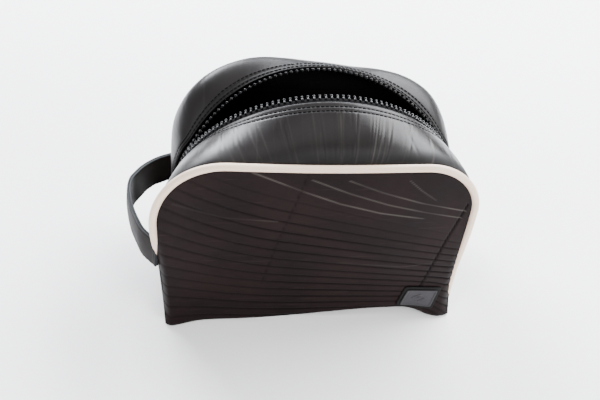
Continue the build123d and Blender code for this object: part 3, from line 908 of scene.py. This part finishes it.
def strip_creases(side, angle, s):
    """Outward offset of the ripples, fine lines and stitch rows of a top strip."""
    broad_seed, fine_seed = RIPPLE_SEEDS[side]
    middle = np.sin(math.pi * np.clip(s / SEAM_SHARE, 0, 1)) ** 0.7
    broad = waves(angle * 2, s * 30, broad_seed, 70) * 0.8
    ends = smooth((np.abs(angle) - 25) / 35)
    fine = waves(angle * 2, s * 9, fine_seed, 13, 9) * 0.10 * (0.35 + ends)
    rows = sum(ridge(s * STRIP_REACH - row, 0.9) for row in STITCH_REACH[side])
    lines = drawn_lines(angle, s) * LINE_RELIEF[side] * np.clip(s * 6, 0, 1)
    return (broad + fine + lines) * middle - STITCH_DIP * rows


def strip_surface(side, angle, s):
    """Outer surface of a top strip with its creases."""
    out = unit(outward_from_zip(angle, FACING[side] * 0.25))
    return strip_point(side, angle, s) + out * strip_creases(side, angle, s)[..., None]


def pale_lines(angle, s):
    """Strength of the faint pale scuffs beside every second drawn line of the front strip."""
    total = np.zeros(angle.shape)
    for place, depth, slant in DRAWN_LINES[::2]:
        mark = ridge(angle - place - 0.8 - slant * (s - 0.5), 0.3)
        total = np.maximum(total, mark * depth * 0.75)
    total = total * (0.55 + 0.45 * smooth((angle - 2) / 16))
    return total * (0.4 + 0.6 * np.clip(waves(angle * 2, s * 40, 51, 25), 0, 1))


def painted_shade_by_piping(angle, s):
    """Painted shade on the front strip beside the piping; it is weaker at the left."""
    return smooth((s - 0.62) / 0.25) * (0.25 + 0.55 * smooth((angle + 35) / 30))


def place_on_strip(side, angle, reach):
    """Points on a strip at a distance from its zip edge, with the surface's directions there."""
    seam = strip_point(side, angle, np.full_like(angle, SEAM_SHARE))
    length = np.linalg.norm(seam - strip_point(side, angle, 0 * angle), axis=-1)
    s = reach / length * SEAM_SHARE
    here = strip_surface(side, angle, s)
    along = unit(strip_surface(side, angle + 0.4, s) - strip_surface(side, angle - 0.4, s))
    across = unit(strip_surface(side, angle, s + 0.02) - here)
    normal = unit(np.cross(across, along))
    up = np.sign(np.sum(normal * np.array([0, 0, 1]), -1).mean())
    return here, along, across, normal * up


def ring_shape(stations, sides, power=2.0):
    """Closed blunt shape lofted along Y through (y, half_x, half_z) stations.

    A power above 2 squares its rings off.
    """
    turn = np.linspace(0, 2 * math.pi, sides, endpoint=False)
    c, s = np.cos(turn), np.sin(turn)
    round_x = np.sign(c) * np.abs(c) ** (2 / power)
    round_z = np.sign(s) * np.abs(s) ** (2 / power)
    verts = [(hx * a, y, hz * b) for y, hx, hz in stations for a, b in zip(round_x, round_z)]
    faces = []
    for i in range(len(stations) - 1):
        for k in range(sides):
            j = (k + 1) % sides
            faces.append([i * sides + k, (i + 1) * sides + k, (i + 1) * sides + j, i * sides + j])
    faces.append(list(range(sides)))
    faces.append([(len(stations) - 1) * sides + k for k in range(sides)][::-1])
    return verts, faces


STITCH = ring_shape(
    ((-1.3, 0.1, 0.1), (-1.1, 0.36, 0.3), (0, 0.46, 0.4), (1.1, 0.36, 0.3), (1.3, 0.1, 0.1)),
    sides=8,
)
STRIP_LOOKS = {"front": STRIP_RUBBER, "back": BACK_RUBBER}
STRIP_COLUMNS = {"front": 520, "back": 320}
STRIP_ROWS = 64
STITCH_END = 78.0

for side in ("front", "back"):
    angles = np.linspace(-STRIP_DEG, STRIP_DEG, STRIP_COLUMNS[side])
    angle, share = np.meshgrid(angles, end_spacing(STRIP_ROWS, 0.4), indexing="ij")
    grid = strip_surface(side, angle, share)
    strip = make_sheet(f"{side}_strip_skin", grid, RUBBER, STRIP_LOOKS[side], (0, 0, -1))
    paint_part(strip, LINING, cells_of(grid), 1)
    # Painted shade along the strip's free edge and in its stitch dents, and on the front strip
    # beside the piping.
    painted_shade_rows = (0.0, *STITCH_REACH[side])
    dark = sum(ridge(share * STRIP_REACH - row, 0.8) for row in painted_shade_rows) * 0.55
    scuffs = 0 * angle
    if side == "front":
        dark = np.maximum(painted_shade_by_piping(angle, share), dark)
        scuffs = pale_lines(angle, share)
    set_attribute(strip, "painted_shade", dark)
    set_attribute(strip, "scratch", scuffs)
    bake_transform(strip)
    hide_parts(f"{side}_top_strip")

    spots = np.arange(-STITCH_END, STITCH_END, STITCH_PITCH / ZIP_R * 180 / math.pi)
    for row, reach in enumerate(STITCH_REACH[side], 1):
        here, along, across, normal = place_on_strip(side, spots, reach)
        frames = (here + normal * 0.05, across, along, normal)
        stitches = join_copies(f"{side}_stitch_row_{row}", *STITCH, frames, THREAD)
        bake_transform(stitches)

# ---- zip: tapes and moulded teeth ----
TAIL_END = {"front": "left", "back": "right"}
TOOTH = ring_shape(
    (
        (-1.05, 0.45, 0.5),
        (-0.85, 0.9, 0.95),
        (-0.2, 1.0, 1.15),
        (0.5, 0.85, 1.1),
        (1.0, 0.62, 0.95),
        (1.6, 0.78, 1.1),
        (2.2, 1.0, 1.45),
        (3.3, 1.0, 1.45),
        (3.6, 0.7, 1.0),
    ),
    sides=12,
    power=3.2,
)


def parting(angle):
    """Distance that a tooth stands back beyond the mouth's corners, round the slider's wedge."""
    rise, _ = rise_of(angle)
    return 1.6 * (1 - smooth(rise / 9 + 1.0))


for side in ("front", "back"):
    angles = np.linspace(-TAIL_DEG, TAIL_DEG, 260)
    angle, off = np.meshgrid(angles, np.linspace(TAPE_IN, TAPE_OUT, 8), indexing="ij")
    grid = chain_point(side, angle, off, TAPE_LIFT)
    tape = make_sheet(f"{side}_tape_cloth", grid, TAPE_CLOTH, TAPE, (0, 0, -1), round_edge=False)
    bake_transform(tape)
    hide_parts(f"{side}_zip_tape")

    step = math.degrees(TOOTH_PITCH / ZIP_R)
    spots = np.arange(-TAIL_DEG + 1.2, TAIL_DEG - 0.8, step) + FACING[side] * step / 4
    origin = chain_point(side, spots, parting(spots))
    along = unit(chain_point(side, spots + 0.5) - chain_point(side, spots - 0.5))
    outward = unit(chain_point(side, spots, 1.0) - chain_point(side, spots, 0.0))
    normal = np.cross(outward, along) * -FACING[side]
    up = np.sign(np.sum(normal * (origin - ZIP_CENTRE), -1))[:, None]
    frames = (origin, along, outward, normal * up)
    teeth = join_copies(f"{side}_teeth_row", *TOOTH, frames, TEETH)
    fix_normals(teeth)
    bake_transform(teeth)
    end = TAIL_END[side]
    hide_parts(f"{side}_zip_teeth", f"{end}_tail_tape", f"{end}_tail_teeth")

# ---- side gussets and base ----
GUSSET_REACH = 57.6  # half its depth, front to back
GUSSET_INSET = 2.2
WAIST_X = {-1: -103.3, 1: 119.0}  # middle of a gusset's upper edge, drawn in by the zip
GUSSET_WAVE = 0.7
LINING_GAP = 3.2  # the gusset linings hang this far inside
PANEL_LINING_GAP = 3.4


def gusset_grid(end, gap, rows=60, columns=110, low=3.0):
    """Grid over a side gusset, gap inside its outer face; end is -1 at the left, 1 at the right."""
    z = np.linspace(low, GUSSET_TOP + 1.0, rows)[:, None]
    t = np.linspace(-1, 1, columns)[None, :]
    front, back = OUTLINES["front"], OUTLINES["back"]
    if end < 0:
        x_front, x_back = front.left_x(z), back.left_x(z)
    else:
        x_front, x_back = front.right_x(z), back.right_x(z)
    x_front = x_front - end * (GUSSET_INSET + gap)
    x_back = x_back - end * (GUSSET_INSET + gap)
    straight = (x_front + x_back) / 2
    bow = (WAIST_X[end] - end * gap - straight) * (z / GUSSET_TOP) ** 1.3
    bow = bow + end * GUSSET_WAVE * waves(z, t * 60, 61 + end, 60)
    x = (x_front * (1 - t) + x_back * (1 + t)) / 2 + bow * (1 - t**2)
    return np.stack(np.broadcast_arrays(x, (GUSSET_REACH - gap) * t, z), -1)


for name, end in (("left", -1), ("right", 1)):
    inward = (-end, 0, 0)
    skin = make_sheet(f"{name}_gusset_skin", gusset_grid(end, 0.0), RUBBER, SIDE_RUBBER, inward)
    fix_to_bag(skin, f"{name}_gusset")
    grid = gusset_grid(end, LINING_GAP, 20, 30, low=8.0)
    cloth = make_sheet(f"{name}_lining_cloth", grid, LINING_CLOTH, LINING, inward)
    fix_to_bag(cloth, f"{name}_lining")


BASE_INSET = 3.4
BASE_REACH = 58.5
END_RISE = 6.0
FLOOR_LINING_Z = 13.0
FLOOR_LINING_TRIM = 7.0


def base_grid(floor, trim, columns=60, rows=40):
    """Grid over the base, x across and y front to back; its front edge lifts with the panel."""
    u = np.linspace(-1, 1, columns)[:, None]
    w = np.linspace(-1, 1, rows)[None, :]
    front, back = OUTLINES["front"], OUTLINES["back"]
    slew = (w + 1) / 2
    inset = BASE_INSET + trim
    left = front.left_x(0.0) * (1 - slew) + back.left_x(0.0) * slew + inset
    right = front.right_x(0.0) * (1 - slew) + back.right_x(0.0) * slew - inset
    x = left * (1 - u) / 2 + right * (1 + u) / 2
    y = (BASE_REACH - trim) * w
    end_rise = END_RISE * np.clip((np.abs(u) - 0.93) / 0.07, 0, 1) ** 2
    lift = bottom_z("front", np.clip(x, -113, 112)) * np.clip((0.2 - w) / 1.2, 0, 1) ** 2
    return np.stack(np.broadcast_arrays(x, y, floor + lift + end_rise), -1)


base_skin = make_sheet("base_skin", base_grid(0.0, 0.0), RUBBER, SIDE_RUBBER, (0, 0, 1))
fix_to_bag(base_skin, "base_panel")
grid = base_grid(FLOOR_LINING_Z, FLOOR_LINING_TRIM, 30, 20)
floor_cloth = make_sheet("floor_lining", grid, LINING_CLOTH, LINING, (0, 0, -1))
fix_to_bag(floor_cloth, "base_lining")

# The panel linings start above the floor's lining, so their lowest rows are left out.
for side in ("front", "back"):
    grid = panel_grid(side, 60, 40, inset=6.0)[:, 5:]
    grid[..., 1] -= FACING[side] * PANEL_LINING_GAP
    inward = (0, -FACING[side], 0)
    cloth = make_sheet(f"{side}_lining_cloth", grid, LINING_CLOTH, LINING, inward)
    fix_to_bag(cloth, f"{side}_lining")

# ---- grab handle ----
# The loop as (x, y) points from the front seam to the back one.
HANDLE_PATH = (
    (-117.2, -58.2), (-126, -48), (-130.5, -39), (-136.5, -22), (-139.3, -4),
    (-138.3, 10), (-134.8, 20), (-130, 31), (-123.5, 41), (-115, 49.5), (-103, 57.5),
)
HANDLE_WIDTH = 26.0
HANDLE_TOP = ((0, 0.12, 0.5, 0.85, 1), (80.5, 82.0, 83.5, 77.0, 74.0))  # height along the loop
STRAP = 1.6  # thickness of each of the two straps


def handle_grid(offset, columns=160, rows=26):
    """Grid over the strap: along the loop and down its width; offset is away from the bag."""
    path = np.array(HANDLE_PATH, float)
    knots = np.linspace(0, 1, len(path))
    t = np.linspace(0, 1, columns)
    x = spline(t, knots, path[:, 0])
    y = spline(t, knots, path[:, 1])
    tangent = unit(np.stack([np.gradient(x), np.gradient(y)], -1))
    out = np.stack([-tangent[:, 1], tangent[:, 0]], -1)
    out *= np.sign(-out[len(t) // 2, 0])
    v = np.linspace(0, 1, rows)[None, :]
    top = spline(t, *HANDLE_TOP)[:, None]
    ragged = 0.25 * np.sin(t * 190)[:, None] + 0.35 * waves(t[:, None] * 200, 0 * v, 71, 22)
    z = top - v * (HANDLE_WIDTH + ragged * (v > 0.9))
    cup = 0.9 * (2 * v - 1) ** 2
    ripple = 0.35 * waves(t[:, None] * 160, v * 26, 72, 45)
    away = offset - cup + ripple
    px = x[:, None] + out[:, None, 0] * away
    py = y[:, None] + out[:, None, 1] * away
    return np.stack(np.broadcast_arrays(px, py, z), -1)


for layer, offset in (("outer", 1.65), ("inner", 0.0)):
    grid = handle_grid(offset)
    strap = make_sheet(f"handle_{layer}_strap", grid, STRAP, STRAP_RUBBER, (1, 0, 0))
    # Its cut edges get the lighter, bluer rubber: a painted highlight.
    paint_part(strap, EDGE_HIGHLIGHT_RUBBER, cells_of(grid), 2)
    fix_to_bag(strap, f"handle_{layer}")

# ---- label ----
label_low, label_high = box_mm("label_patch")
plate_low, plate_high = box_mm("label_plate")
LABEL_X = (label_low[0] + label_high[0]) / 2 - 2.4
LABEL_Z = (label_low[2] + label_high[2]) / 2 + 1.6
LABEL_LEAN = 0.26  # its ends lean to the right, and its long edges drop to the right
LABEL_DROP = 0.05
PATCH_LIFT = 1.1  # faces of the patch and the plate, out from the panel
PLATE_LIFT = 1.6


def label_grid(width, height, raise_by, columns, rows, corner):
    """Grid of a small rectangle with softened corners that lies on the front panel."""
    u = np.linspace(-1, 1, columns)[:, None]
    v = np.linspace(-1, 1, rows)[None, :]
    px = width / 2 * u * (1 - corner * v**8 * np.abs(u) ** 8)
    pz = height / 2 * v * (1 - corner * u**8 * np.abs(v) ** 8)
    x = LABEL_X + px + LABEL_LEAN * pz
    z = LABEL_Z + pz - LABEL_DROP * px
    y = panel_y("front", x, z) - raise_by
    return np.stack([x, y, z], -1), px, pz


wide, _, tall = label_high - label_low
patch_grid, _, _ = label_grid(wide, tall, PATCH_LIFT, 50, 36, 0.05)
patch = make_sheet("label_patch_rubber", patch_grid, 1.3, LABEL_BACK, (0, 1, 0))
fix_to_bag(patch, "label_patch")

# The plate has a plain border and a lozenge in a lozenge ring, raised from its face.
PLATE_RELIEF = 0.5
wide, _, tall = plate_high - plate_low
face_grid, px, pz = label_grid(wide, tall, PLATE_LIFT, 120, 80, 0.04)
lozenge = np.abs(px) / 5.6 + np.abs(pz) / 3.8
ring = np.exp(-(((lozenge - 1.0) / 0.16) ** 4))
core = np.exp(-((lozenge / 0.4) ** 4))
border = smooth((np.maximum(np.abs(px) / 12.5, np.abs(pz) / 8.0) - 0.86) / 0.06)
face_grid[..., 1] -= PLATE_RELIEF * np.maximum.reduce([ring, border, core])
plate = make_sheet("label_plate_face", face_grid, 0.6, LABEL_FACE, (0, 1, 0))
fix_to_bag(plate, "label_plate")

# ---- pieces kept from the frame ----
KEPT = {
    "zip_slider": METAL,
    "pull_link": METAL,
    "pull_tab": STRAP_RUBBER,
    "zip_bottom_stop": METAL,
    "zip_top_stops": METAL,
    "left_zip_tab": SIDE_RUBBER,
    "right_zip_tab": SIDE_RUBBER,
    "base_board": BOARD,
}
for node, material in KEPT.items():
    mesh = frame["nodes"][node].data
    mesh.materials.clear()
    mesh.materials.append(material)

# ---- floor, light and camera ----
floor_tone = Nodes("pale_floor")
floor_tone.set(Base_Color=(0.93, 0.93, 0.93, 1), Roughness=0.9, Specular_IOR_Level=0.1)
FLOOR_REACH = 12000.0
corners = FLOOR_REACH * np.array([(-1, -1, 0), (1, -1, 0), (1, 1, 0), (-1, 1, 0)])
floor = make_object("floor", corners, [[0, 1, 2, 3]], floor_tone.material)

world = bpy.data.worlds.new("studio")
world.use_nodes = True
sky = world.node_tree.nodes["Background"]
sky.inputs["Color"].default_value = (0.92, 0.95, 1.0, 1)
sky.inputs["Strength"].default_value = 0.45
bpy.context.scene.world = world


def soft_box(name, place, aim, size, power, tint=(1, 1, 1)):
    """Rectangular light at a place, turned towards its aim; metres and watts."""
    light = bpy.data.lights.new(name, "AREA")
    light.shape = "RECTANGLE"
    light.size, light.size_y = size
    light.energy = power
    light.color = tint
    lamp = add_object(name, light)
    lamp.location = place
    lamp.rotation_euler = (Vector(aim) - Vector(place)).to_track_quat("-Z", "Y").to_euler()


soft_box("high_right", (1.00, 0.55, 1.10), (0, 0, 0.1), (1.1, 0.9), 74, (0.95, 0.97, 1.0))
soft_box("behind_left", (-0.62, 1.15, 0.98), (-0.06, 0, 0.14), (0.8, 0.7), 74, (0.92, 0.95, 1.0))
soft_box("behind_right", (0.40, 1.15, 0.95), (0.05, 0, 0.14), (0.6, 0.4), 30, (0.90, 0.94, 1.0))
soft_box("front_fill", (1.6, -1.8, 1.0), (0.05, -0.2, 0.0), (1.6, 0.6), 82)
soft_box("overhead", (-0.05, -0.35, 1.6), (0, -0.1, 0.0), (1.3, 0.8), 7)
soft_box("front_left", (-1.5, -1.2, 1.2), (-0.1, -0.2, 0.0), (0.8, 0.6), 30)

CAMERA_TILT = math.radians(40.0)
CAMERA_SIDE = math.radians(-10.01)
CAMERA_ROLL = math.radians(6.09)
CAMERA_PLACE = (-0.0898, -0.4878, 0.4846)
CAMERA_LENS = 48.0
SENSOR_WIDTH = 36.0
backward = Vector((
    math.sin(CAMERA_SIDE) * math.cos(CAMERA_TILT),
    -math.cos(CAMERA_SIDE) * math.cos(CAMERA_TILT),
    math.sin(CAMERA_TILT),
))
level = (-backward).cross(Vector((0, 0, 1))).normalized()
upward = level.cross(-backward)
rolled_right = level * math.cos(CAMERA_ROLL) + upward * math.sin(CAMERA_ROLL)
rolled_up = -level * math.sin(CAMERA_ROLL) + upward * math.cos(CAMERA_ROLL)
camera_data = bpy.data.cameras.new("camera")
camera_data.lens = CAMERA_LENS
camera_data.sensor_width = SENSOR_WIDTH
camera_data.clip_start = 0.01
camera = add_object("camera", camera_data)
turn = Matrix((rolled_right, rolled_up, backward)).transposed().to_4x4()
camera.matrix_world = Matrix.Translation(CAMERA_PLACE) @ turn
bpy.context.scene.camera = camera
